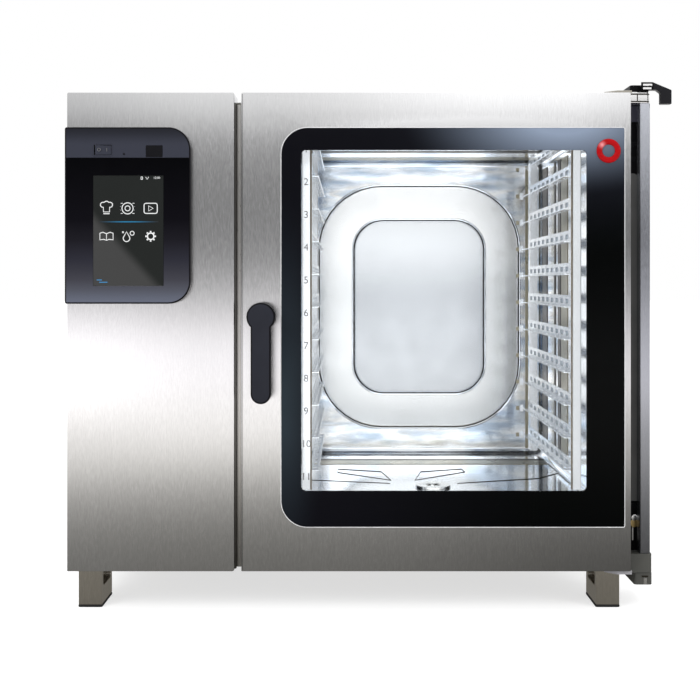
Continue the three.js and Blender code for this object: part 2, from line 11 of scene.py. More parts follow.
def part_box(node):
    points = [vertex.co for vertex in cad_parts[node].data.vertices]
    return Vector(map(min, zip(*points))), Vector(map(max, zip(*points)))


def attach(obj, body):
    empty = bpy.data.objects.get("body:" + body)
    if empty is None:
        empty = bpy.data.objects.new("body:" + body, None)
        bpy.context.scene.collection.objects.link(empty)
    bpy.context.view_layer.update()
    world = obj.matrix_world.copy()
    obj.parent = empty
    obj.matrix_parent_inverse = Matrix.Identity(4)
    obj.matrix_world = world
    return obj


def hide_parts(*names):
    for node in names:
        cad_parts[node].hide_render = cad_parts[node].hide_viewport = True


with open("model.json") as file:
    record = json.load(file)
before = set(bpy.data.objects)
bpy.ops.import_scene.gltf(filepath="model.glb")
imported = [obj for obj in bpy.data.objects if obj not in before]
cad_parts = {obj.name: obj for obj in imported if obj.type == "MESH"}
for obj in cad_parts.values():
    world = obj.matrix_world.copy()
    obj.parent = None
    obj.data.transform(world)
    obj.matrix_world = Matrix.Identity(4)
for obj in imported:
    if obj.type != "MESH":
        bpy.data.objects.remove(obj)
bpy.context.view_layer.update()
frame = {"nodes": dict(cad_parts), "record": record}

# ---- Frame of reference ----
# Sizes below are millimetres: x from the casing's middle, y back from the door's front face and
# z up from the floor. The origin of those sizes is read from the CAD boxes.
MM = 0.001
CASING_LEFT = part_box("left_side_panel")[0].x
CASING_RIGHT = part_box("right_side_panel")[1].x
ORIGIN = Vector(((CASING_LEFT + CASING_RIGHT) / 2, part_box("door_outer_frame")[0].y, 0))


def at(x, y, z):
    """A point given in millimetres, in the scene's metres."""
    return ORIGIN + Vector((x, y, z)) * MM


def span(node):
    """A CAD node's box in millimetres: x0, x1, y0, y1, z0, z1."""
    low, high = (((corner - ORIGIN) / MM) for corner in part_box(node))
    return low.x, high.x, low.y, high.y, low.z, high.z


def facing(node):
    """A CAD node's front outline in millimetres: x0, x1, z0, z1."""
    x0, x1, _, _, z0, z1 = span(node)
    return x0, x1, z0, z1


BODY = "oven_body"
DOOR = "door"
HANDLE_X, HANDLE_Z = -171, 590  # the axis of the door handle
WINDOW = (-94.7, 472.1, 243, 920)  # the clear part of the outer pane: x0, x1, z0, z1
GLASS_CORNERS = [52, 3, 3, 52]
RUNGS = 11
PITCH = 68
FIRST_RUNG = 266.6

# ---- Outlines ----


def arc(u, v, r, start, end, n):
    """Points on an arc, angles in degrees."""
    steps = [math.radians(start + (end - start) * i / n) for i in range(n + 1)]
    return [(u + r * math.cos(a), v + r * math.sin(a)) for a in steps]


def round_rect(u0, u1, v0, v1, radii, n=8):
    """A rectangle with round corners: radii from the lower left one, going round by the right."""
    if isinstance(radii, (int, float)):
        radii = [radii] * 4
    a, b, c, d = [max(r, 0.01) for r in radii]
    return (
        arc(u0 + a, v0 + a, a, 180, 270, n)
        + arc(u1 - b, v0 + b, b, 270, 360, n)
        + arc(u1 - c, v1 - c, c, 0, 90, n)
        + arc(u0 + d, v1 - d, d, 90, 180, n)
    )


def grown(box, by, radii, n=8):
    """A rectangle with round corners, each of its sides moved out by a distance."""
    u0, u1, v0, v1 = box
    return round_rect(u0 - by, u1 + by, v0 - by, v1 + by, radii, n)


def circle(u, v, r, n=32):
    return arc(u, v, r, 0, 360 - 360 / n, n - 1)


def turns(n):
    """Angles of a full turn in n equal steps."""
    return [2 * math.pi * i / n for i in range(n)]


# ---- Meshes ----
ACROSS = {
    "x": Matrix(((0, 0, 1), (1, 0, 0), (0, 1, 0))).to_4x4(),
    "y": Matrix(((1, 0, 0), (0, 0, -1), (0, 1, 0))).to_4x4(),
    "z": Matrix.Identity(4),
}
PLACE = Matrix.Translation(ORIGIN)


def link(obj):
    bpy.context.scene.collection.objects.link(obj)


def curve_mesh(curve):
    """The mesh of a curve data block, which is then removed."""
    obj = bpy.data.objects.new(curve.name, curve)
    link(obj)
    depsgraph = bpy.context.evaluated_depsgraph_get()
    mesh = bpy.data.meshes.new_from_object(obj.evaluated_get(depsgraph))
    bpy.data.objects.remove(obj)
    bpy.data.curves.remove(curve)
    return mesh


def poly_spline(curve, points, closed=True):
    spline = curve.splines.new("POLY")
    spline.points.add(len(points) - 1)
    for target, p in zip(spline.points, points):
        w = p[2] if len(p) > 2 else 0
        target.co = (p[0] * MM, p[1] * MM, w * MM, 1)
    spline.use_cyclic_u = closed


def plate(loops, low, high, bevel=0.4, across="y", rounds=1):
    """A plate with bevelled rims: an outline and its holes, extruded from low to high."""
    curve = bpy.data.curves.new("plate", "CURVE")
    curve.dimensions = "2D"
    curve.fill_mode = "BOTH"
    for loop in loops:
        poly_spline(curve, loop)
    curve.extrude = ((high - low) / 2 - bevel) * MM
    curve.bevel_depth = bevel * MM
    curve.offset = -bevel * MM
    curve.bevel_resolution = rounds
    mesh = curve_mesh(curve)
    middle = Vector([(low + high) / 2 * MM * (axis == across) for axis in "xyz"])
    mesh.transform(PLACE @ Matrix.Translation(middle) @ ACROSS[across])
    return mesh


def slab(x, y, z, bevel=0.4, across="y"):
    """A bevelled box between three pairs of limits."""
    u, v, w = {"x": (y, z, x), "y": (x, z, y), "z": (x, y, z)}[across]
    return plate([round_rect(*u, *v, 0, n=1)], *w, bevel=bevel, across=across)


def tube(points, radius, closed=False, rounds=3):
    """A round bar along points in millimetres."""
    curve = bpy.data.curves.new("tube", "CURVE")
    curve.dimensions = "3D"
    curve.bevel_depth = radius * MM
    curve.bevel_resolution = rounds
    curve.use_fill_caps = True
    poly_spline(curve, points, closed)
    mesh = curve_mesh(curve)
    mesh.transform(PLACE)
    return mesh


def mesh_from(verts, faces):
    mesh = bpy.data.meshes.new("mesh")
    mesh.from_pydata([tuple(at(*v)) for v in verts], [], faces)
    return mesh


def bands(count, n):
    """The faces between loops of n points each, one loop after the other."""
    return [
        (k * n + i, k * n + (i + 1) % n, (k + 1) * n + (i + 1) % n, (k + 1) * n + i)
        for k in range(count - 1)
        for i in range(n)
    ]


def turned(profile, centre, axis="y", n=40, caps=True):
    """A turned solid: (radius, height) pairs from one end of the axis to the other."""
    rings = [[(r * math.cos(a), r * math.sin(a), h) for a in turns(n)] for r, h in profile]
    mesh = bpy.data.meshes.new("turned")
    verts = [tuple(Vector(p) * MM) for ring in rings for p in ring]
    faces = bands(len(rings), n)
    if caps:
        faces += [tuple(reversed(range(n))), tuple(range((len(rings) - 1) * n, len(rings) * n))]
    mesh.from_pydata(verts, [], faces)
    mesh.transform(Matrix.Translation(at(*centre)) @ ACROSS[axis])
    return mesh


def loft(loops, cap=True):
    """A skin through loops of equal length, each a list of points in millimetres."""
    n = len(loops[0])
    verts = [p for loop in loops for p in loop]
    faces = bands(len(loops), n)
    if cap:
        faces.append(tuple(range((len(loops) - 1) * n, len(loops) * n)))
    return mesh_from(verts, faces)


BEVELLED = math.radians(30)  # edges at least this sharp get a bevel


def refined(node, width):
    """A CAD node's mesh with its flat faces made whole and its edges bevelled."""
    bm = bmesh.new()
    bm.from_mesh(frame["nodes"][node].data)
    bmesh.ops.remove_doubles(bm, verts=bm.verts, dist=1e-5)
    bmesh.ops.dissolve_limit(bm, angle_limit=math.radians(1), verts=bm.verts, edges=bm.edges)
    edges = [e for e in bm.edges if e.is_manifold and e.calc_face_angle() > BEVELLED]
    bmesh.ops.bevel(bm, geom=edges, offset=width * MM, segments=2, profile=0.6, affect="EDGES")
    mesh = bpy.data.meshes.new(node)
    bm.to_mesh(mesh)
    bm.free()
    return mesh


def piece(name, parts, body, nodes=(), sharp=38):
    """One shown piece from (mesh, material) pairs. It rides on a CAD body and stands for nodes."""
    bm = bmesh.new()
    materials = []
    for mesh, material in parts:
        if material not in materials:
            materials.append(material)
        first = len(bm.faces)
        bm.from_mesh(mesh)
        bm.faces.ensure_lookup_table()
        for face in bm.faces[first:]:
            face.material_index = materials.index(material)
        bpy.data.meshes.remove(mesh)
    bmesh.ops.remove_doubles(bm, verts=bm.verts, dist=2e-6)
    bmesh.ops.recalc_face_normals(bm, faces=bm.faces)
    limit = math.radians(sharp)
    for face in bm.faces:
        face.smooth = True
    for edge in bm.edges:
        edge.smooth = edge.is_manifold and edge.calc_face_angle() < limit
    mesh = bpy.data.meshes.new(name)
    bm.to_mesh(mesh)
    bm.free()
    for material in materials:
        mesh.materials.append(material)
    obj = bpy.data.objects.new(name, mesh)
    link(obj)
    flat = obj.modifiers.new("flat_faces", "WEIGHTED_NORMAL")
    flat.keep_sharp = True
    flat.weight = 80
    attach(obj, body)
    if nodes:
        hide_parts(*nodes)
    return obj


# ---- Materials ----


def add_node(tree, kind, inputs=(), **settings):
    """A new shader node with settings; inputs maps socket names to values or sockets."""
    made = tree.nodes.new("ShaderNode" + kind)
    for key, value in settings.items():
        setattr(made, key, value)
    for key, value in dict(inputs).items():
        if isinstance(value, bpy.types.NodeSocket):
            tree.links.new(value, made.inputs[key])
        else:
            made.inputs[key].default_value = value
    return made


def set_stops(color_ramp, stops):
    """Give a colour ramp (position, colour) stops in rising order."""
    for index, (place, color) in enumerate(stops):
        stop = color_ramp.elements[index] if index < 2 else color_ramp.elements.new(place)
        stop.position = place
        stop.color = (*color, 1)


def set_surface(tree, shader, output="Material Output"):
    tree.links.new(shader, tree.nodes[output].inputs["Surface"])


class Paint:
    """A Principled material with short ways to add procedural detail."""

    def __init__(self, name, color, roughness, metallic=0.0, specular=0.5, anisotropic=0.0):
        self.material = bpy.data.materials.new(name)
        self.material.use_nodes = True
        self.tree = self.material.node_tree
        self.bsdf = self.tree.nodes["Principled BSDF"]
        self.bsdf.inputs["Base Color"].default_value = (*color, 1)
        self.bsdf.inputs["Roughness"].default_value = roughness
        self.bsdf.inputs["Metallic"].default_value = metallic
        self.bsdf.inputs["Specular IOR Level"].default_value = specular
        self.bsdf.inputs["Anisotropic"].default_value = anisotropic
        self.coord = self.node("TexCoord").outputs["Object"]

    def node(self, kind, inputs=(), **settings):
        return add_node(self.tree, kind, inputs, **settings)

    def noise(self, scale, detail=4.0, stretch=(1, 1, 1)):
        mapping = self.node("Mapping", {"Vector": self.coord, "Scale": stretch})
        vector = mapping.outputs["Vector"]
        inputs = {"Vector": vector, "Scale": scale, "Detail": detail}
        return self.node("TexNoise", inputs).outputs["Fac"]

    def slope(self, direction, start, end):
        """0 to 1 between two points in millimetres, measured along a direction."""
        direction = Vector(direction)
        dot = self.node("VectorMath", {0: self.coord, 1: direction}, operation="DOT_PRODUCT")
        low, high = direction.dot(at(*start)), direction.dot(at(*end))
        return self.range(dot.outputs["Value"], 0, 1, low, high, "SMOOTHSTEP")

    def height(self, low, high):
        return self.slope((0, 0, 1), (0, 0, low), (0, 0, high))

    def glow(self, centre, radii):
        """1 at a point in millimetres, falling to 0 at a distance set for each axis."""
        inputs = {"Vector": self.coord, "Location": at(*centre), "Scale": Vector(radii) * MM}
        mapping = self.node("Mapping", inputs, vector_type="TEXTURE")
        ball = {"Vector": mapping.outputs["Vector"]}
        return self.node("TexGradient", ball, gradient_type="QUADRATIC_SPHERE").outputs["Fac"]

    def range(self, value, low, high, from_low=0.3, from_high=0.7, kind="LINEAR"):
        inputs = {"Value": value, "From Min": from_low, "From Max": from_high}
        inputs.update({"To Min": low, "To Max": high})
        return self.node("MapRange", inputs, interpolation_type=kind).outputs["Result"]

    def ramp(self, factor, stops):
        """A colour ramp with (position, colour) stops in rising order."""
        made = self.node("ValToRGB", {"Fac": factor})
        set_stops(made.color_ramp, stops)
        return made.outputs["Color"]

    def mix(self, factor, a, b):
        """Colours a and b, each a triple or a socket, mixed by a factor socket."""
        made = self.node("Mix", {"Factor": factor}, data_type="RGBA")
        for value, place in ((a, "A"), (b, "B")):
            socket = next(s for s in made.inputs if s.name == place and s.type == "RGBA")
            if isinstance(value, tuple):
                socket.default_value = (*value, 1)
            else:
                self.tree.links.new(value, socket)
        return next(s for s in made.outputs if s.type == "RGBA")

    def times(self, a, b):
        """Two colour sockets multiplied."""
        return self.node("VectorMath", {0: a, 1: b}, operation="MULTIPLY").outputs["Vector"]

    def drive(self, socket, value):
        self.tree.links.new(value, self.bsdf.inputs[socket])
        return self

    def bump(self, height, strength, distance=0.0003):
        inputs = {"Height": height, "Strength": strength, "Distance": distance}
        return self.drive("Normal", self.node("Bump", inputs).outputs["Normal"])


def scaled(color, factor):
    return tuple(min(1.0, c * factor) for c in color)


PRINT_LEVEL = 0.62  # printed tones under the studio's light


def tone(r, g, b):
    """The linear colour of a tone from 0 to 255 as on a screen, for prints and painted reflections alike."""
    levels = [v / 255 for v in (r, g, b)]
    linear = [v / 12.92 if v < 0.04 else ((v + 0.055) / 1.055) ** 2.4 for v in levels]
    return tuple(PRINT_LEVEL * v for v in linear)


def front_tint(paint):
    """Painted light and shade on the front's steel: darker at the lower right, paler at the upper right, with
    a painted highlight above the glass.
    """
    across = (1, 0, 0)
    grey = [(g, g, g) for g in (0.49, 0.70, 0.95, 1.22, 0.80, 1.46, 1.26)]
    low_right, mid_right, low_left, mid_left, top_left, top_right, top_edge = grey
    middle = paint.height(330, 470)
    right = paint.slope(across, (-60, 0, 0), (640, 0, 0))
    left = paint.slope(across, (-260, 0, 0), (-590, 0, 0))
    lower = paint.mix(right, (1, 1, 1), paint.mix(middle, low_right, mid_right))
    lower = paint.mix(left, lower, paint.mix(middle, low_left, mid_left))
    upper = paint.mix(paint.slope(across, (-190, 0, 0), (310, 0, 0)), (1, 1, 1), top_right)
    upper = paint.mix(paint.slope(across, (420, 0, 0), (600, 0, 0)), upper, top_edge)
    upper = paint.mix(left, upper, top_left)
    # Painted highlight on the steel just above the glass.
    above_glass = paint.range(paint.glow((170, 0, 966), (480, 60, 32)), 0, 1, 0, 0.6)
    painted_highlight = paint.mix(above_glass, (1, 1, 1), (1.3, 1.3, 1.3))
    return paint.times(paint.mix(paint.height(730, 935), lower, upper), painted_highlight)


def pressed(name, low, high):
    """Satin pressed steel with painted light: paler towards its top."""
    paint = Paint(name, low, 0.23, 1.0)
    clouds = paint.range(paint.noise(5, 2), 0.97, 1.0)
    # Painted light: the colour grows paler with height.
    shade = paint.mix(paint.height(600, 810), low, high)
    level = paint.node("VectorMath", {0: shade, 3: clouds}, operation="SCALE")
    paint.drive("Base Color", level.outputs["Vector"])
    paint.drive("Roughness", paint.range(paint.noise(14, 3), 0.2, 0.26))
    return paint.material


def brushed(name, color, roughness=0.17, axis="Z", contrast=0.07, sheen=0.93, front=False):
    """Sheet metal with an upright brushed grain, whose shine spreads across the grain."""
    paint = Paint(name, color, roughness, 1.0, anisotropic=sheen)
    tangent = paint.node("Tangent", direction_type="RADIAL", axis=axis)
    paint.drive("Tangent", tangent.outputs["Tangent"])
    lines = paint.noise(520, 4, (1, 1, 0.16) if axis == "Z" else (1, 0.16, 1))
    wide = paint.noise(60, 3, (1, 1, 0.03))
    low, high = scaled(color, 1 - contrast), scaled(color, 1 + contrast)
    toned = paint.mix(paint.range(lines, 0, 1), low, high)
    toned = paint.mix(paint.range(wide, 0, 0.4), toned, scaled(color, 0.95))
    # front: the colour takes the painted light and shade of the front's steel.
    if front:
        toned = paint.times(toned, front_tint(paint))
    paint.drive("Base Color", toned)
    paint.drive("Roughness", paint.range(lines, roughness - 0.03, roughness + 0.03))
    paint.bump(lines, 0.02)
    return paint.material


def polished(name, color, roughness=0.14, wave=0.12):
    """Bright sheet steel with a faint waviness and light wear."""
    paint = Paint(name, color, roughness, 1.0)
    paint.drive("Roughness", paint.range(paint.noise(14, 3), roughness - 0.04, roughness + 0.05))
    clouds = paint.range(paint.noise(5, 2), 0, 1)
    paint.drive("Base Color", paint.mix(clouds, color, scaled(color, 0.95)))
    paint.bump(paint.noise(7, 1), wave, 0.004)
    return paint.material


def heat_tinted():
    """Chamber steel with long streaks of blue-grey and near-white in its colour."""
    paint = Paint("steel_tinted", (0.9, 0.9, 0.9), 0.12, 1.0)
    streaks = paint.noise(9, 4, (0.5, 1, 2.4))
    stops = ((0.0, (0.42, 0.50, 0.62)), (0.38, (0.55, 0.64, 0.76)), (0.5, (0.88, 0.91, 0.95)))
    stops += ((0.56, (0.97, 0.97, 0.97)), (0.66, (0.70, 0.77, 0.86)), (1.0, (0.86, 0.90, 0.94)))
    paint.drive("Base Color", paint.ramp(streaks, stops))
    paint.drive("Roughness", paint.range(paint.noise(14, 3), 0.08, 0.2))
    paint.bump(paint.noise(8, 2, (0.6, 1, 1.8)), 0.35, 0.006)
    return paint.material


def moulded(name, color, roughness=0.45, grain=900, bump=0.12, metallic=0.0, specular=0.3):
    """Moulded plastic, rubber or powder coat with a fine grain."""
    paint = Paint(name, color, roughness, metallic, specular)
    fine = paint.noise(grain, 3)
    paint.drive("Roughness", paint.range(fine, roughness - 0.06, roughness + 0.06))
    clouds = paint.range(paint.noise(20, 3), 0, 1)
    paint.drive("Base Color", paint.mix(clouds, scaled(color, 0.88), scaled(color, 1.12)))
    paint.bump(fine, bump, 0.0002)
    return paint.material


def gloss_black(name):
    """The start of a glossy black glass or lacquer."""
    paint = Paint(name, (0.002, 0.002, 0.002), 0.1, specular=0.035)
    paint.drive("Roughness", paint.range(paint.noise(30, 2), 0.07, 0.15))
    return paint


def glass_border():
    """Black print on the pane, with a painted blue reflection at the upper right and along the left edge."""
    paint = gloss_black("glass_border")
    # Painted reflection: blue-grey glows at the upper right and left edge, paler towards the left.
    upper = paint.range(paint.glow((425, 0, 985), (330, 40, 160)), 0, 1, 0, 0.62)
    wide = paint.range(paint.glow((470, 0, 985), (560, 60, 290)), 0, 1, 0, 0.9)
    side = paint.range(paint.glow((-130, 0, 440), (90, 40, 430)), 0, 1, 0, 0.9)
    left = paint.slope((1, 0, 0), (420, 0, 0), (-120, 0, 0))
    color = paint.mix(left, tone(4, 5, 5), tone(15, 15, 20))
    color = paint.mix(wide, color, tone(38, 40, 50))
    color = paint.mix(side, color, tone(50, 60, 68))
    color = paint.mix(upper, color, tone(138, 151, 171))
    paint.drive("Base Color", color)
    return paint.material


def panel_glass():
    """Black lacquer with a painted reflection that pales it towards its lower edge."""
    paint = gloss_black("panel_glass")
    low, high = 616, 903
    # Tones of the painted reflection, from the lower edge upwards.
    stops = ((616, 100, 104, 119), (628, 92, 96, 109), (642, 80, 82, 92), (662, 64, 64, 72))
    stops += ((681, 54, 54, 62), (701, 44, 44, 53), (740, 28, 27, 33), (780, 15, 14, 19), (903, 5, 5, 7))
    fade = [((z - low) / (high - low), tone(r, g, b)) for z, r, g, b in stops]
    along = paint.node("SeparateXYZ", {"Vector": paint.coord}).outputs["Z"]
    level = paint.range(along, 0, 1, low * MM, high * MM)
    paint.drive("Base Color", paint.ramp(level, fade))
    return paint.material


def panel_band():
    paint = gloss_black("panel_band")
    paint.drive("Base Color", paint.mix(paint.height(925, 962), tone(57, 59, 69), tone(36, 37, 43)))
    return paint.material


def screen_glass():
    """Dark grey screen with a painted highlight: paler below a slanting line."""
    paint = gloss_black("screen")
    # Painted highlight: paler below the slanting line.
    slant = paint.slope((-1.1, 0, -1), (-504, 0, 806), (-504, 0, 772))
    fade = paint.mix(slant, tone(37, 39, 38), tone(67, 67, 67))
    paint.drive("Base Color", fade)
    return paint.material


def badge_red():
    """Red enamel with a painted highlight at the upper left of the ring."""
    paint = Paint("badge_red", (0.27, 0.001, 0.003), 0.2, specular=0.1)
    deep = paint.mix(paint.range(paint.noise(60, 2), 0, 1), (0.24, 0.001, 0.002), (0.29, 0.001, 0.003))
    # Painted highlight on the ring's upper left.
    painted_glint = paint.range(paint.glow((502, -3, 930), (11, 8, 11)), 0, 1, 0, 0.8)
    paint.drive("Base Color", paint.mix(painted_glint, deep, (0.55, 0.20, 0.21)))
    paint.drive("Roughness", paint.range(paint.noise(40, 2), 0.17, 0.24))
    return paint.material


def see_through(name, tint, ior):
    """Thin clear glass: transparent, with a Fresnel share of reflection."""
    material = bpy.data.materials.new(name)
    material.use_nodes = True
    tree = material.node_tree
    tree.nodes.remove(tree.nodes["Principled BSDF"])
    clear = add_node(tree, "BsdfTransparent", {"Color": (*tint, 1)}).outputs["BSDF"]
    shine = add_node(tree, "BsdfGlossy", {"Roughness": 0.04}).outputs["BSDF"]
    share = add_node(tree, "Fresnel", {"IOR": ior}).outputs["Fac"]
    mix = add_node(tree, "MixShader", {"Fac": share, 1: clear, 2: shine})
    set_surface(tree, mix.outputs["Shader"])
    return material


def glowing(name, color, strength=1.0, fade=None):
    """A lit mark on the screen, a little uneven; fade gives where it glows and how far."""
    paint = Paint(name, (0.01, 0.01, 0.01), 0.4, specular=0.05)
    uneven = paint.mix(paint.range(paint.noise(250, 2), 0, 1), scaled(color, 0.9), color)
    if fade:
        uneven = paint.mix(paint.range(paint.glow(*fade), 0, 1, 0, 0.35), tone(38, 40, 39), uneven)
    paint.drive("Emission Color", uneven)
    paint.bsdf.inputs["Emission Strength"].default_value = strength
    return paint.material


# The front's steel, with painted light and shade in its colour.
STEEL = brushed("steel_front", (0.64, 0.64, 0.64), front=True)
# A darker copy of the front's steel: painted shade for folded edges.
STEEL_FOLD_SHADE = brushed("steel_fold_painted_shade", (0.34, 0.34, 0.34))
STEEL_SHADE = brushed("steel_shade", (0.11, 0.106, 0.095), 0.3)
STEEL_WARM = brushed("steel_warm", (0.62, 0.61, 0.58), 0.3)
# A darker copy of the front's steel: painted shade on the front frame, recessed behind door and cover.
STEEL_DARK = brushed("steel_frame", (0.34, 0.33, 0.30), 0.3)
STEEL_SIDE = brushed("steel_side", (0.58, 0.58, 0.58), 0.26)
STEEL_ROOF = brushed("steel_roof", (0.58, 0.58, 0.58), 0.26, "X")
MIRROR = polished("steel_chamber", (0.90, 0.92, 0.95), 0.12, 0.10)
TINTED = heat_tinted()
# The back wall's pressed steel; its centre is a darker copy, painted shade.
SATIN = pressed("steel_pressed", (0.64, 0.65, 0.66), (0.90, 0.90, 0.905))
SATIN_DEEP = pressed("steel_centre", (0.42, 0.435, 0.46), (0.70, 0.715, 0.74))
RACK_STEEL = polished("steel_rack", (0.80, 0.82, 0.85), 0.22, 0.03)
BRIGHT = polished("steel_pin", (0.85, 0.85, 0.84), 0.18, 0.03)
TRIM = moulded("steel_trim", (0.55, 0.55, 0.56), 0.3, 400, 0.05)
# Dark joints between leaves, and painted shade in grooves, creases, sockets and slots.
SEAM_SHADE = moulded("seam_painted_shade", (0.010, 0.008, 0.004), 0.6, specular=0.1)
POST_EDGE_SHADE = moulded("post_edge_painted_shade", (0.10, 0.075, 0.045), 0.5)
# Tan and dark strips: painted reflections in the chamber and on the rack.
TAN_REFLECTION = polished("steel_painted_tan_reflection", (0.34, 0.31, 0.23), 0.3, 0.02)
SHADOWED = polished("steel_shadowed", (0.045, 0.035, 0.028), 0.35, 0.02)
# The hinge post's aluminium, with the same painted light and shade as the front.
ALUMINIUM = brushed("aluminium", (0.50, 0.515, 0.56), 0.24, sheen=0.8, front=True)
STEEL_FOOT = brushed("steel_foot", (0.66, 0.62, 0.55), 0.24)
BLACK_METAL = moulded("black_metal", (0.0015, 0.0015, 0.002), 0.4, specular=0.08)
CAST_GREY = moulded("cast_grey", (0.046, 0.046, 0.041), 0.5, 500, 0.2)
LEAF_GREY = moulded("leaf_grey", (0.27, 0.265, 0.28), 0.4)
BRACKET = moulded("bracket_blue", (0.040, 0.040, 0.060), 0.45)
DARK_COVER = moulded("dark_cover", (0.105, 0.105, 0.103), 0.55, specular=0.1)
HINGE_STEEL = polished("steel_hinge", (0.42, 0.40, 0.35), 0.3, 0.02)
HANDLE = moulded("handle_grey", (0.0115, 0.0125, 0.018), 0.42, 1400, 0.08, specular=0.15)
# A darker copy of the handle's plastic: painted shade on its rim and neck.
HANDLE_SHADE_RIM = moulded("handle_rim_painted_shade", (0.002, 0.002, 0.003), 0.4, specular=0.1)
RUBBER = moulded("rubber_black", (0.010, 0.010, 0.010), 0.75, 700, 0.25)
LEVER = moulded("lever_black", (0.0035, 0.0035, 0.005), 0.35, specular=0.2)
BRASS = polished("brass", (0.62, 0.46, 0.20), 0.28, 0.04)
BOARD = moulded("board_green", (0.02, 0.12, 0.05), 0.5)
CONTACTOR = moulded("contactor_grey", (0.22, 0.23, 0.24), 0.5)
WOOL = moulded("mineral_wool", (0.45, 0.38, 0.22), 0.95, 160, 1.0)
HEATER = moulded("heater_metal", (0.09, 0.085, 0.08), 0.5, metallic=0.8)
MOTOR = moulded("motor_alloy", (0.30, 0.31, 0.32), 0.45, 500, 0.3, metallic=1.0)
BORDER = glass_border()
PANEL = panel_glass()
PANEL_BAND = panel_band()
PANEL_RIM = moulded("panel_rim", (0.003, 0.003, 0.004), 0.3, specular=0.1)
SCREEN = screen_glass()
ICON = glowing("icon_white", (0.95, 0.96, 0.96), 1.0)
LINE_BLUE = glowing("line_blue", (0.008, 0.20, 0.40), 1.0, ((-434.5, 0, 776), (70, 50, 50)))
MARK_BLUE = glowing("mark_blue", (0.06, 0.30, 0.62), 0.9)
RED = badge_red()
CLEAR = see_through("clear_glass", (0.99, 0.995, 0.995), 1.12)
DIGIT = moulded("digit_grey", (0.13, 0.13, 0.135), 0.6)
MARK = moulded("mark_grey", (0.10, 0.10, 0.105), 0.6)
RACK_SHADE = polished("steel_slot_shade", (0.48, 0.53, 0.60), 0.3, 0.02)

# ---- Casing ----
FOLD = 3  # depth of the sheets' folded edges


def make_cover():
    """Left front cover with soft folded edges."""
    x0, x1, y0, y1, z0, z1 = span("left_front_cover")
    outline = round_rect(x0, x1, z0, z1, [1.5, 4, 3, 3], 4)
    inner = grown((x0, x1, z0, z1), -FOLD, 1, 4)
    face = plate([outline], y0, y0 + FOLD, 1.3, rounds=3)
    rim = plate([outline, inner], y0 + 2, y1, 0.5)
    piece("front_cover", [(face, STEEL), (rim, STEEL)], BODY, ["left_front_cover"])


def make_door_frame():
    """Door skin with its big glass opening and a thin polished chamfer round it."""
    x0, x1, y0, y1, z0, z1 = span("door_outer_frame")
    glass = facing("door_outer_glass")
    outline = round_rect(x0, x1, z0, z1, [1.5, 2, 2, 3], 4)
    hole = grown(glass, 0.5, GLASS_CORNERS, 12)
    spindle = circle(HANDLE_X, HANDLE_Z, 9.2, 24)
    inner = grown((x0, x1, z0, z1), -FOLD, 1, 4)
    face = plate([outline, hole, spindle], y0, y0 + FOLD, 1.2, rounds=3)
    rim = plate([outline, inner], y0 + 2, y1, 0.5)
    # A darker strip of steel: painted shade along the skin's folded left edge.
    fold = slab((x0 + 1.4, x0 + 3.4), (y0 - 0.15, y0 + 1), (z0 + 3, z1 - 3), 0.1)
    skin = [(face, STEEL), (rim, STEEL), (fold, STEEL_FOLD_SHADE)]
    piece("door_skin", skin, DOOR, ["door_outer_frame"])
    edge = grown(glass, 1.8, [r + 1.3 for r in GLASS_CORNERS], 12)
    lip = grown(glass, 0.4, GLASS_CORNERS, 12)
    piece("glass_trim", [(plate([edge, lip], y0 - 0.4, y0 + 1, 0.5), TRIM)], DOOR)


def make_outer_pane():
    """The outer pane: a black printed border and a clear window."""
    y0, y1 = span("door_outer_glass")[2:4]
    outline = grown(facing("door_outer_glass"), 0, GLASS_CORNERS, 12)
    border = plate([outline, grown(WINDOW, 0, 9, 6)], y0, y1, 0.8, rounds=2)
    piece("outer_pane_border", [(border, BORDER)], DOOR, ["door_outer_glass"])
    clear = plate([grown(WINDOW, 0.2, 9, 6)], y0 + 0.4, y0 + 3.2, 0.1)
    piece("outer_pane_window", [(clear, CLEAR)], DOOR)


def make_gap_folds():
    """A shaded and a paler fold of the front frame, seen between cover and door."""
    _, x0, _, _, z0, z1 = span("left_front_cover")
    x1 = span("door_outer_frame")[0]
    dark = slab((x0 + 0.4, x0 + 3.4), (6, 66), (z0 + 4, z1 - 22), 0.4)
    pale = slab((x0 + 4, x1 - 2.4), (22, 66), (z0 + 4, z1 - 22), 0.4)
    folds = [(dark, STEEL_SHADE), (pale, STEEL_WARM)]
    piece("gap_folds", folds, BODY)


make_cover()
make_gap_folds()
make_door_frame()
make_outer_pane()

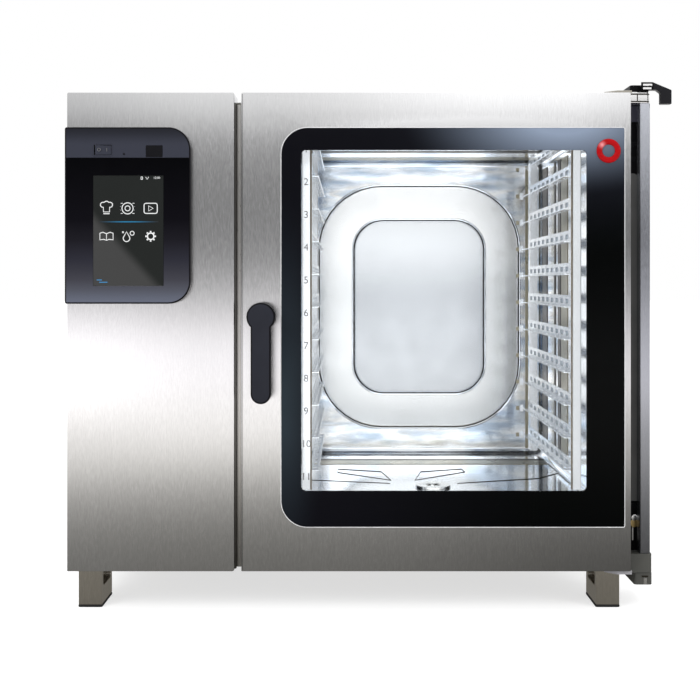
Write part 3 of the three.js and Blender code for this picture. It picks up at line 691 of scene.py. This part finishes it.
# Nodes whose CAD shape is right: copied with whole faces and bevelled edges.
REFINED = {
    "base_tray": (STEEL_SIDE, 0.4),
    "left_side_panel": (STEEL_SIDE, 0.3),
    "right_side_panel": (STEEL_SIDE, 0.3),
    "rear_panel": (STEEL_SIDE, 0.3),
    "roof_panel": (STEEL_ROOF, 0.3),
    "front_frame": (STEEL_DARK, 0.4),
    "chamber_insulation": (WOOL, 1.0),
    "door_gasket": (RUBBER, 1.2),
    "suction_panel": (MIRROR, 0.3),
    "drain_strainer": (BRIGHT, 0.5),
    "fan_motor": (MOTOR, 1.5),
    "fan_wheel": (STEEL_SIDE, 0.4),
    "heating_element": (HEATER, 0.0),
    "water_injection_tube": (BRIGHT, 0.0),
    "condensate_box": (STEEL_SIDE, 0.5),
    "drain_outlet": (BRIGHT, 0.5),
    "water_inlet_valve": (BRASS, 0.6),
    "cable_gland": (LEVER, 0.6),
    "exhaust_stub": (BRIGHT, 0.5),
    "air_intake_stub": (BRIGHT, 0.5),
    "control_board": (BOARD, 0.2),
    "contactor_panel": (CONTACTOR, 0.8),
    "latch_keeper": (BRIGHT, 0.6),
    "upper_guide_rail": (ALUMINIUM, 0.4),
    "lower_guide_rail": (ALUMINIUM, 0.4),
    "door_inner_frame": (STEEL_SIDE, 0.4),
    "door_drip_tray": (MIRROR, 0.3),
    "latch_spindle": (BRIGHT, 0.4),
}


def body_of(node):
    groups = frame["record"]["behaviour"]["bodies"]
    return next(body for body, nodes in groups.items() if node in nodes)


def show_refined(table):
    """Show each node of a table of (material, bevel width) as its refined copy."""
    for node, (material, width) in table.items():
        mesh = refined(node, width)
        piece(f"fine_{node}", [(mesh, material)], body_of(node), [node])


show_refined(REFINED)
inner_pane = frame["nodes"]["door_inner_glass"].data.materials
inner_pane.clear()
inner_pane.append(CLEAR)

# ---- Feet ----
for corner in ("front_left", "front_right", "rear_left", "rear_right"):
    mesh = refined(f"foot_{corner}", 1.2)
    piece(f"fine_foot_{corner}", [(mesh, STEEL_FOOT)], BODY, [f"foot_{corner}"])
    *sides, z0, z1 = span(f"foot_pad_{corner}")
    sole = plate([round_rect(*sides, 5)], z0, z1, 1.2, "z", 2)
    rim = plate([round_rect(*sides, 5)], z0 + 1.5, z0 + 3, 0.5, "z")
    piece(f"fine_pad_{corner}", [(sole, RUBBER), (rim, RUBBER)], BODY, [f"foot_pad_{corner}"])

# ---- Chamber ----


def make_chamber():
    """Inner skin: coved corners, a back wall with two pressed rounded outlines, folded floor."""
    sheet, cove, corner = 1.2, 16, 18
    x0, x1, y0, y1, z0, z1 = span("oven_chamber")
    x0, x1, y1, z0, z1 = x0 + sheet, x1 - sheet, y1 - sheet, z0 + sheet, z1 - sheet

    def ring(box, grow, radius, y):
        """A rounded loop round a box at one depth."""
        return [(u, y, v) for u, v in grown(box, grow, radius, 10)]

    walls = (x0, x1, z0, z1)
    loops = [ring(walls, 0, corner, y0 + sheet), ring(walls, 0, corner, y1 - cove)]
    for angle in (20, 45, 70, 90):
        a = math.radians(angle)
        loops.append(ring(walls, -cove * (1 - math.cos(a)), corner, y1 - cove + cove * math.sin(a)))

    # The two pressed outlines of the back wall: box and corner radius.
    outer, inner = ((-83, 466, 260, 922), 172), ((13, 370, 354, 828), 80)

    def outline(shape, grow, y):
        box, radius = shape
        return ring(box, grow, radius + grow, y)

    def groove(shape, y):
        """A raised bright bead with a rolled groove inside it, made dark by painted shade."""
        bead = [outline(shape, g, y - h) for g, h in ((6, 0), (5, 1.8), (3, 2.2), (1.1, 1.2))]
        line = [outline(shape, g, y - h) for g, h in ((1.1, 1.2), (0.7, 0.8), (-1.7, 0.8), (-2.1, 2))]
        return [(loft(bead, False), MIRROR), (loft(line, False), SEAM_SHADE)]

    field = [outline(outer, -2.1, y1 - 2), outline(outer, -7, y1 - 3), outline(inner, 6, y1 - 3)]
    centre = [outline(inner, -2.1, y1 - 5), outline(inner, -7, y1 - 6)]
    parts = [
        (loft(loops[:2], cap=False), MIRROR),
        (loft(loops[1:] + [outline(outer, 6, y1)], cap=False), TINTED),
        (loft(field, False), SATIN),
        (loft(centre), SATIN_DEEP),
    ]
    parts += groove(outer, y1) + groove(inner, y1 - 3)
    # Painted reflections as thin tan and dark bands on the ceiling and floor, then on the back wall, then on
    # the right wall.
    ceiling, floor = (z1 - 0.9, z1 - 0.3), (z0 + 0.3, z0 + 0.9)
    level = [((625, 672), ceiling, SHADOWED), ((780, 838), ceiling, TAN_REFLECTION)]
    level += [((741, 768), floor, SHADOWED), ((676, 740), floor, TAN_REFLECTION)]
    for y, z, material in level:
        parts.append((slab((-120, x1 - 8), y, z, 0.2, "z"), material))
    parts.append((slab((-110, x1 - 30), (y1 - 1, y1 - 0.3), (z0 + 1, z0 + 9), 0.2), TAN_REFLECTION))
    parts.append((slab((484, 492), (y1 - 2, y1 - 0.4), (z0 + 12, z1 - 12), 0.3), TAN_REFLECTION))
    upright = [((480, 560), TAN_REFLECTION), ((569, 610), SHADOWED), ((640, 664), SHADOWED), ((766, 835), SHADOWED)]
    for y, material in upright:
        parts.append((slab((x1 - 1.4, x1 - 0.4), y, (z0 + 26, z1 - 26), 0.3, "x"), material))
    # Floor sheets fall to the drain and meet in folds, drawn as dark lines of painted shade.
    folds = [
        [(-28, 601), (-28, 550), (99, 437), (79, 560)],
        [(281, 601), (285, 556), (155, 437), (177, 560)],
        [(-88, 440), (95, 395)],
        [(252, 395), (452, 462), (530, 560)],
    ]
    for fold in folds:
        line = [(u, v, z0 + (0.6 if v > 450 else 0.2)) for u, v in fold]
        parts.append((tube(line, 0.9, len(fold) == 4, 1), SEAM_SHADE))
    piece("chamber_skin", parts, BODY, ["oven_chamber"], 20)


make_chamber()


def slotted(u0, u1, v0, v1, count, size, margin):
    """An outline and a row of rounded slots along u."""
    loops = [round_rect(u0, u1, v0, v1, 0.6, 2)]
    pitch = (u1 - u0 - 2 * margin) / (count - 1)
    mid, (long, high) = (v0 + v1) / 2, size
    for i in range(count):
        u = u0 + margin + i * pitch
        slot = (u - long / 2, u + long / 2, mid - high / 2, mid + high / 2)
        loops.append(round_rect(*slot, high / 2.1, 3))
    return loops


def make_rack(name, side):
    """One hanging rack: two uprights and eleven perforated angle rails."""
    x0, x1, y0, y1, z0, z1 = span(name)
    outer = x0 if side < 0 else x1
    post, web, nose = 18, 19, 34  # distances in from the outer face
    parts = []

    def inwards(*distances):
        return sorted(outer - side * d for d in distances)

    def bar(x, y, z, bevel, material=RACK_STEEL, across="y"):
        parts.append((slab(inwards(*x), y, z, bevel, across), material))

    for y in (y0, y1 - 20):
        bar((0, post), (y, y + 1.5), (z0, z1), 0.5)
        bar((0, 1.5), (y, y + 20), (z0, z1), 0.4)
        bar((post - 1.5, post), (y, y + 20), (z0, z1), 0.4)
    for i in range(RUNGS):
        z = FIRST_RUNG + PITCH * i
        upright = slotted(y0 + 4, y1 - 4, z - 2, z + 24, 9, (38, 10), 46)
        parts.append((plate(upright, *inwards(web, web + 1.5), 0.25, "x"), RACK_STEEL))
        bar((web - 0.9, web - 0.3), (y0 + 30, y1 - 30), (z + 6, z + 16), 0.1, RACK_SHADE, "x")
        tread = slotted(y0 + 4, y1 - 4, *inwards(web - 0.5, nose), 10, (22, 6), 40)
        tread = [[(v, u) for u, v in loop] for loop in tread]
        parts.append((plate(tread, z - 1.6, z, 0.25, "z"), RACK_STEEL))
        edge = [(*inwards(nose), y, z - 0.4) for y in (y0 + 4, y1 - 4)]
        parts.append((tube(edge, 1.3, rounds=2), RACK_STEEL))
        if side > 0:
            bar((nose, nose + 9), (y1 - 8, y1 - 5), (z - 9, z + 9), 0.5)
            bar((nose + 11, nose + 19), (y1 - 7, y1 - 3), (z - 5, z + 5), 0.8, TAN_REFLECTION)
    # A dark golden line of painted shade along the front upright's inner edge.
    bar((post - 0.4, post + 2.6), (y0 + 1, y0 + 2.4), (z0, z1), 0.3, POST_EDGE_SHADE)
    piece(f"fine_{name}", parts, BODY, [name])


make_rack("left_rack", -1)
make_rack("right_rack", 1)


def text_mesh(body, size, x, y, z, depth=0.15):
    """Digits as a thin raised mesh facing the front, centred on a point."""
    curve = bpy.data.curves.new("digits", "FONT")
    curve.body = body
    curve.size = size * MM
    curve.extrude = depth * MM
    curve.align_x = "CENTER"
    curve.align_y = "CENTER"
    mesh = curve_mesh(curve)
    mesh.transform(Matrix.Translation(at(x, y, z)) @ ACROSS["y"])
    return mesh


LOWEST_DIGIT = (-89, 103.7, 253.5)
digits = []
for n in range(1, RUNGS + 1):
    x, y, z = LOWEST_DIGIT
    digits.append((text_mesh(str(n), 21, x, y, z + PITCH * (RUNGS - n)), DIGIT))
piece("level_numbers", digits, BODY)

# ---- Control panel ----


def make_panel():
    """The bezel: a dark rim, the glossy face round the display and a paler band above it."""
    x0, x1, y0, y1, z0, z1 = span("control_bezel")
    outline = round_rect(x0, x1, z0, z1, [4, 44, 44, 4], 12)
    opening = grown(facing("touch_display"), 0.3, 1, 2)
    rocker_hole = round_rect(-502, -467, 908, 928, 1, 2)
    flap_hole = round_rect(-400, -367, 904, 927, 1, 2)
    body = plate([outline, opening, rocker_hole, flap_hole], y0 + 1.2, y1, 1.2, rounds=3)
    face = round_rect(x0 + 3, x1 - 3, z0 + 3, 902, [2, 41, 0, 0], 12)
    band = round_rect(x0 + 3, x1 - 3, 902.6, z1 - 3, [0, 0, 41, 2], 12)
    parts = [
        (body, PANEL_RIM),
        (plate([face, opening], y0, y0 + 2, 0.35), PANEL),
        (plate([band, rocker_hole, flap_hole], y0, y0 + 2, 0.35), PANEL_BAND),
    ]
    frame_loops = [round_rect(-504, -465, 906, 930, 1.5, 3), rocker_hole]
    parts.append((plate(frame_loops, y0 - 0.6, y0 + 1, 0.3), PANEL_BAND))
    parts.append((turned([(2, 0.4), (1.9, 0.8), (1, 1.3)], (-443, y0, 910), "y", 16), PANEL_RIM))
    piece("panel_bezel", parts, BODY, ["control_bezel"])


STROKE = 1.8  # width of the screen's lines
FLATNESS = 0.18


def stroke(points, y, width=STROKE, closed=False):
    """A flat line on the screen through (x, z) points."""
    path = [(u, 0, v) for u, v in points]
    mesh = tube(path, width / 2, closed, 2)
    squash = Matrix.Translation((0, at(0, y, 0).y, 0)) @ Matrix.Diagonal((1, FLATNESS, 1, 1))
    mesh.transform(squash @ Matrix.Translation((0, -ORIGIN.y, 0)))
    return mesh


def make_screen():
    """The display's glass with its icons, clock and status lines."""
    s0, s1, y0, y1, t0, t1 = span("touch_display")
    glass = plate([round_rect(s0, s1, t0, t1, 0.8, 2)], y0, y1, 0.3)
    parts = [(glass, SCREEN)]
    y = y0 - 0.12

    def icon(points, closed=False, width=STROKE):
        parts.append((stroke(points, y, width, closed), ICON))

    mid = (s0 + s1) / 2
    cols = (mid - 43, mid - 1.5, mid + 44)
    row1, row2 = 803, 748
    # Chef's hat.
    u, v = cols[0], row1
    hat = arc(u - 7, v + 7, 5, 100, 280, 6) + [(u - 6, v - 7), (u + 6, v - 7)]
    hat += arc(u + 7, v + 7, 5, 260, 440, 6) + arc(u, v + 8, 6, 40, 140, 5)
    icon(hat, True)
    icon([(u - 6, v - 10.5), (u + 6, v - 10.5)])
    # Plate with cutlery lines.
    u = cols[1]
    icon(circle(u, v, 11, 24), True)
    icon(circle(u, v, 5, 16), True, 1.6)
    for side in (-1, 1):
        for dz in (-10, -3.5, 3.5, 10):
            icon([(u + side * 13.5, v + dz), (u + side * (14 if abs(dz) < 5 else 9.5), v + dz)], width=1.2)
    # Start symbol in a rounded frame.
    u = cols[2]
    icon(round_rect(u - 13, u + 13, v - 10, v + 10, 4, 4), True)
    icon([(u - 4, v - 5), (u - 4, v + 5), (u + 5, v)], True)
    # Open book.
    u, v = cols[0], row2
    page = ((0, -8), (5, -6), (13, -7), (13, 6), (7, 8), (0, 5))
    for side in (-1, 1):
        icon([(u + side * du, v + dv) for du, dv in page], True)
    # Drops.
    u = cols[1]
    drop = [(u - 2, v + 9)] + arc(u - 2, v - 4, 6.5, 20, -200, 12)
    icon(drop, True)
    icon(circle(u + 9, v + 6, 4, 12), True, 1.6)
    icon(circle(u - 9, v + 8, 1.2, 8), True, 1.6)
    # Gear.
    u = cols[2]
    icon(circle(u, v, 6.5, 20), True, 2.6)
    for a in turns(8):
        tooth = [(u + r * math.cos(a), v + r * math.sin(a)) for r in (8, 10.5)]
        icon(tooth, width=3.2)
    # Status marks and clock digits.
    icon(round_rect(mid + 25, mid + 28, 860, 865, 0.5, 2), True, 1.2)
    icon([(mid + 34, 865), (mid + 37, 860), (mid + 40, 865)], width=1.2)
    parts.append((text_mesh("12:00", 6, mid + 56, y, 863, 0.1), ICON))
    parts.append((stroke([(s0 + 12, 776.5), (s1 - 10, 776.5)], y, 2.2), LINE_BLUE))
    parts.append((stroke([(s0 + 7, 662), (s0 + 17, 662)], y), MARK_BLUE))
    parts.append((stroke([(s0 + 12, 657.5), (s0 + 28, 657.5)], y), MARK_BLUE))
    piece("screen_glass", parts, BODY, ["touch_display"])


def make_rocker():
    """The power rocker with its two raised marks, one on each slope."""
    mesh = refined("power_rocker", 0.8)
    zero = text_mesh("O", 9, -492, -21.3, 918, 0.9)
    one = text_mesh("I", 9, -477, -19.5, 918, 0.7)
    parts = [(mesh, PANEL_BAND), (zero, MARK), (one, MARK)]
    piece("rocker_cap", parts, "rocker", ["power_rocker"])


make_panel()
make_screen()
make_rocker()
flap = refined("usb_flap", 0.7)
piece("flap_cover", [(flap, PANEL_RIM)], "flap", ["usb_flap"])

# ---- Handle and badge ----


def make_handle():
    """A round head and a tongue-shaped lever in one, with a rounded rim and a short neck, both darkened by
    painted shade.
    """
    x, z, r, tip, half = HANDLE_X, HANDLE_Z, 28, 421, 39.5 / 2
    front = span("door_handle")[2]

    def outline(inset, depth):
        """The lever's outline: round its head and round its tip."""
        head, width = r - inset, half - inset
        neck = math.degrees(math.asin(width / head))
        loop = arc(x, z, head, neck - 90, 270 - neck, 40)
        loop += arc(x, tip + half, width, 180, 360, 20)
        return [(u, front + depth, v) for u, v in loop]

    face = [outline(6, 0), outline(3.2, 0.25)]
    rim = [outline(3.2, 0.25), outline(1.4, 0.9), outline(0.4, 2.4), outline(0, 5)]
    rim += [outline(0, 21), outline(0.6, 23.4), outline(3, 24)]
    cap = mesh_from(face[0], [tuple(range(len(face[0])))])
    neck = turned([(r - 4, -23), (r - 4, -28), (21, -32), (20, -53.5), (0.01, -53.5)], (x, front, z), "y", 64)
    parts = [(cap, HANDLE), (loft(face, False), HANDLE), (loft(rim), HANDLE_SHADE_RIM), (neck, HANDLE_SHADE_RIM)]
    piece("lever_handle", parts, "handle", ["door_handle"], 30)


make_handle()
rings = [(10, 0.4), (24, 0.4), (24, 4), (22.5, 6), (10, 6)]
escutcheon = turned(rings, (HANDLE_X, 0, HANDLE_Z), "y", 48)
piece("escutcheon_ring", [(escutcheon, BLACK_METAL)], DOOR, ["handle_escutcheon"])


def make_badge():
    """A plain domed red ring."""
    x0, x1, _, y, z0, z1 = span("door_badge")
    r, hole = (x1 - x0) / 2, 12.5
    mid, half = (r + hole) / 2, (r - hole) / 2
    rim = [(mid + half * math.cos(a), 0.6 + 2.3 * math.sin(a)) for a in turns(24)[:13]]
    profile = [(r, 0)] + rim + [(hole, 0)]
    ring = turned(profile, ((x0 + x1) / 2, y, (z0 + z1) / 2), "y", 64, caps=False)
    piece("red_badge", [(ring, RED)], DOOR, ["door_badge"])


make_badge()

# ---- Hinge side ----
HINGE = {
    "hinge_plate_top": (HINGE_STEEL, 0.6),
    "hinge_plate_bottom": (LEAF_GREY, 0.6),
    "hinge_knuckle_top": (BRIGHT, 1.2),
    "hinge_knuckle_bottom": (CAST_GREY, 1.5),
    "hinge_pin_bottom": (BRIGHT, 0.6),
    "hinge_post": (ALUMINIUM, 0.6),
    "top_carriage": (BLACK_METAL, 0.8),
    "bottom_carriage": (CAST_GREY, 0.8),
    "lock_lever": (LEVER, 1.6),
}
show_refined(HINGE)


def make_strip():
    """The black strip behind the hinge gap, with the shaft cover and its fittings."""
    x0, x1, y0, y1, z0, z1 = span("synchro_shaft_cover")
    cover = round_rect(x0 + 3, x1 - 6, 211, 880, [2, 2, 11, 11], 6)
    bracket = round_rect(x0 + 4, x1 - 8, 985, 1018, 2, 3)
    parts = [
        (slab((x0, x1), (y1 - 4.5, y1), (z0, z1), 0.5), BLACK_METAL),
        (plate([cover], y0, y1 - 4, 1.0, rounds=2), DARK_COVER),
        (plate([bracket], y0 + 1.5, y1 - 4, 0.8), BRACKET),
    ]
    for z in (905, 935, 196):
        clip = round_rect(x0 + 6, x1 - 10, z, z + 9, 2, 3)
        parts.append((plate([clip], y0 + 2, y1 - 4, 0.8), PANEL_RIM))
    nut = turned([(6.5, 0), (6.5, 1), (5.6, 2), (2, 2.4)], (583, y0 + 4, 176), "y", 24)
    washer = turned([(8, 0), (8, 1.4), (7, 2)], (583, y0 + 4, 165), "y", 24)
    rod = tube([(579, y0 + 1.5, 131), (579, y0 + 1.5, 157)], 2.2)
    parts += [(nut, BRIGHT), (washer, BRASS), (rod, BRIGHT)]
    piece("shaft_strip", parts, BODY, ["synchro_shaft_cover"])


def make_knuckle_bands():
    """Bright and black leaves of the upper hinge, and the clevis in front of the lever's end."""
    x0, x1, y0, y1, z0, z1 = span("hinge_knuckle_top")
    outline = round_rect(x0, x1 + 0.2, y0 - 0.5, y1, [2, 9, 9, 2], 5)
    leaves = []
    for low, high, material in ((1.2, 3.6, SEAM_SHADE), (4, 15.4, BRIGHT), (15.8, 18.6, SEAM_SHADE)):
        leaves.append((plate([outline], z0 + low, z0 + high, 0.4, "z"), material))
    leaves.append((slab((x0 + 14, x0 + 16), (y0 - 0.9, y0), (z0 + 3, z0 + 16), 0.2), SEAM_SHADE))
    piece("knuckle_leaves", leaves, DOOR)
    clevis = slab((583.5, 608), (12.6, 13.8), (1041.6, 1057.2), 0.5)
    upper = slab((587, 605.5), (12, 12.9), (1049.6, 1053.8), 0.3)
    lower = slab((587, 604), (12, 12.9), (1042.6, 1046.8), 0.3)
    leaves = [(clevis, BLACK_METAL), (upper, BRIGHT), (lower, BRIGHT)]
    piece("lever_clevis", leaves, BODY)


def make_pin_end():
    """The lower hinge pin where it shows in its arm."""
    pin = tube([(596, 31.5, 50.5), (596, 31.5, 63)], 4.4)
    # The pin's slot is dark with painted shade.
    slot = slab((589, 602), (29.4, 31), (64.4, 67.4), 0.3)
    piece("pin_end", [(pin, BRIGHT), (slot, SEAM_SHADE)], BODY)


make_strip()
make_knuckle_bands()
make_pin_end()


SCREW = [(1, 0), (1, 0.5), (0.85, 1.3), (0.5, 1.8)]  # share of the radius, height
SCREW_RADIUS = 4.5


def screw_heads(name, places, axis, flip=1):
    """Low domed screw heads with a hexagon socket; flip is -1 for heads that face backwards."""
    parts = []
    for place in places:
        head = [(SCREW_RADIUS * share, h * flip) for share, h in SCREW]
        parts.append((turned(head, place, axis, 18), BRIGHT))
        cup = [(SCREW_RADIUS * 0.44, h * flip) for h in (1.6, 1.85)]
        # The socket's dark cup is painted shade.
        parts.append((turned(cup, place, axis, 6), SEAM_SHADE))
    piece(name, parts, BODY)


back, side = span("rear_panel")[3], span("right_side_panel")[1]
rows = [(x, back, z) for x in (-540, -270, 0, 270, 540) for z in (92, 1008)]
rows += [(x, back, z) for x in (-540, 540) for z in (320, 550, 780)]
screw_heads("rear_screws", rows, "y", -1)
rows = [(y, z) for y in (120, 380, 660, 935) for z in (92, 1012)]
screw_heads("left_screws", [(-side, y, z) for y, z in rows], "x", -1)
# On the right the lower front corner is left free for the hinge's arm.
screw_heads("right_screws", [(side, y, z) for y, z in rows if z > 1000 or y > 300], "x")
roof = span("roof_panel")[5]
rows = [(x, y, roof) for x in (-540, -180, 180, 540) for y in (120, 945)]
screw_heads("roof_screws", rows, "z")

# ---- Stage ----


def stage_plane(name, reach, z, material):
    """A level square at a height in metres, which reaches as far each way."""
    mesh = bpy.data.meshes.new(name)
    corners = [(x * reach, y * reach, z) for x, y in ((-1, -1), (1, -1), (1, 1), (-1, 1))]
    mesh.from_pydata(corners, [], [(0, 1, 2, 3)])
    mesh.materials.append(material)
    obj = bpy.data.objects.new(name, mesh)
    link(obj)
    return obj


def radial(fade, start, end):
    """A stage material's distance from the middle, as 0 to 1 between two radii in metres."""
    length = fade.node("VectorMath", {0: fade.coord}, operation="LENGTH")
    return fade.range(length.outputs["Value"], 0, 1, start, end)


floor_paint = Paint("floor_pale", (0.88, 0.88, 0.88), 0.9, specular=0.1)
grain = floor_paint.range(floor_paint.noise(60, 3), 0, 1)
floor_paint.drive("Base Color", floor_paint.mix(grain, (0.87, 0.87, 0.87), (0.89, 0.89, 0.89)))
far = floor_paint.node("Emission", {"Color": (1, 1, 1, 1), "Strength": 1.28})
share = floor_paint.range(radial(floor_paint, 0.6, 2.0), 0.5, 1, 0, 1)
shaders = {0: share, 1: floor_paint.bsdf.outputs["BSDF"], 2: far.outputs["Emission"]}
blend = floor_paint.node("MixShader", shaders)
set_surface(floor_paint.tree, blend.outputs["Shader"])
stage_plane("floor", 40, 0, floor_paint.material)

# A shade on the floor that only reflections see, so that the steel darkens downwards.
shade = Paint("card_shade", (0, 0, 0), 1.0)
NEAR, REACH = 0.46, 41
stops = ((NEAR, 0.14), (0.91, 0.175), (1.12, 0.205), (1.36, 0.255), (1.66, 0.36), (2.02, 0.53))
stops += ((2.47, 0.79), (3.04, 1.03), (3.76, 1.16), (5.96, 1.26), (8, 1.25), (11.5, 1.18))
stops += ((18.5, 0.92), (28, 0.75), (REACH, 0.66))
tones = []
for far_off, level in stops:
    warmth = 0.91 + 0.09 * min(1, (far_off - NEAR) / 6)
    place = (far_off - NEAR) / (REACH - NEAR)
    tones.append((place, (level, level * 0.975, level * warmth)))
distance = radial(shade, NEAR, REACH)
glow = shade.node("Emission", {"Color": shade.ramp(distance, tones), "Strength": 1.25})
set_surface(shade.tree, glow.outputs["Emission"])
card = stage_plane("shade_card", REACH, 0.004, shade.material)
card.visible_camera = False
card.visible_diffuse = False
card.visible_shadow = False


def area(name, place, target, size, energy):
    """A soft rectangular lamp that reflections don't show."""
    data = bpy.data.lights.new(name, "AREA")
    data.shape = "RECTANGLE"
    data.size, data.size_y = size
    data.energy = energy
    lamp = bpy.data.objects.new(name, data)
    lamp.location = place
    lamp.rotation_euler = (Vector(target) - Vector(place)).to_track_quat("-Z", "Y").to_euler()
    lamp.visible_glossy = False
    link(lamp)
    return lamp


area("key_left", (-2.6, -3.2, 2.6), (0, 0, 0.5), (2.0, 2.0), 110)
area("fill_right", (3.0, -2.6, 1.8), (0, 0, 0.5), (1.6, 2.2), 60)
area("top", (0, -0.4, 3.4), (0, 0, 0.6), (2.5, 2.5), 70)
mouth = area("chamber_mouth", at(192, 98, 588), at(192, 800, 588), (0.64, 0.78), 1.45)
mouth.visible_glossy = True
mouth.visible_camera = False

# White light for all but reflections, which see a sky with a dark band near the horizon.
world = bpy.data.worlds.new("studio")
world.use_nodes = True
tree = world.node_tree
stops = ((-0.5, 1.0), (-0.02, 0.68), (0.0, 0.45), (0.02, 0.28), (0.054, 0.235), (0.088, 0.25))
stops += ((0.114, 0.30), (0.131, 0.43), (0.148, 0.93), (0.165, 1.0), (0.5, 0.9), (1.0, 1.0))
direction = add_node(tree, "TexCoord").outputs["Generated"]
rise = add_node(tree, "SeparateXYZ", {"Vector": direction}).outputs["Z"]
place = add_node(tree, "MapRange", {"Value": rise, "From Min": -1}).outputs["Result"]
ramp = add_node(tree, "ValToRGB", {"Fac": place})
ramp.color_ramp.interpolation = "EASE"
set_stops(ramp.color_ramp, [((h + 1) / 2, (v, v, v * 1.01)) for h, v in stops])
sky = tree.nodes["Background"]
tree.links.new(ramp.outputs["Color"], sky.inputs["Color"])
sky.inputs["Strength"].default_value = 1.25
white = add_node(tree, "Background", {"Color": (1, 1, 1, 1)}).outputs["Background"]
glossy = add_node(tree, "LightPath").outputs["Is Glossy Ray"]
shaders = {"Fac": glossy, 1: white, 2: sky.outputs["Background"]}
choose = add_node(tree, "MixShader", shaders)
set_surface(tree, choose.outputs["Shader"], "World Output")
bpy.context.scene.world = world

# ---- Camera ----
DISTANCE = 2.3
LENS = 59.56
HORIZON_SHIFT = -0.0957
camera = bpy.data.cameras.new("camera")
camera.lens = LENS
camera.sensor_width = 36
camera.shift_y = HORIZON_SHIFT
viewer = bpy.data.objects.new("camera", camera)
viewer.location = at(2, 0, 656) + Vector((0, -DISTANCE, 0))
viewer.rotation_euler = (math.radians(90), 0, 0)
link(viewer)
bpy.context.scene.camera = viewer
bpy.context.scene.view_settings.view_transform = "Standard"
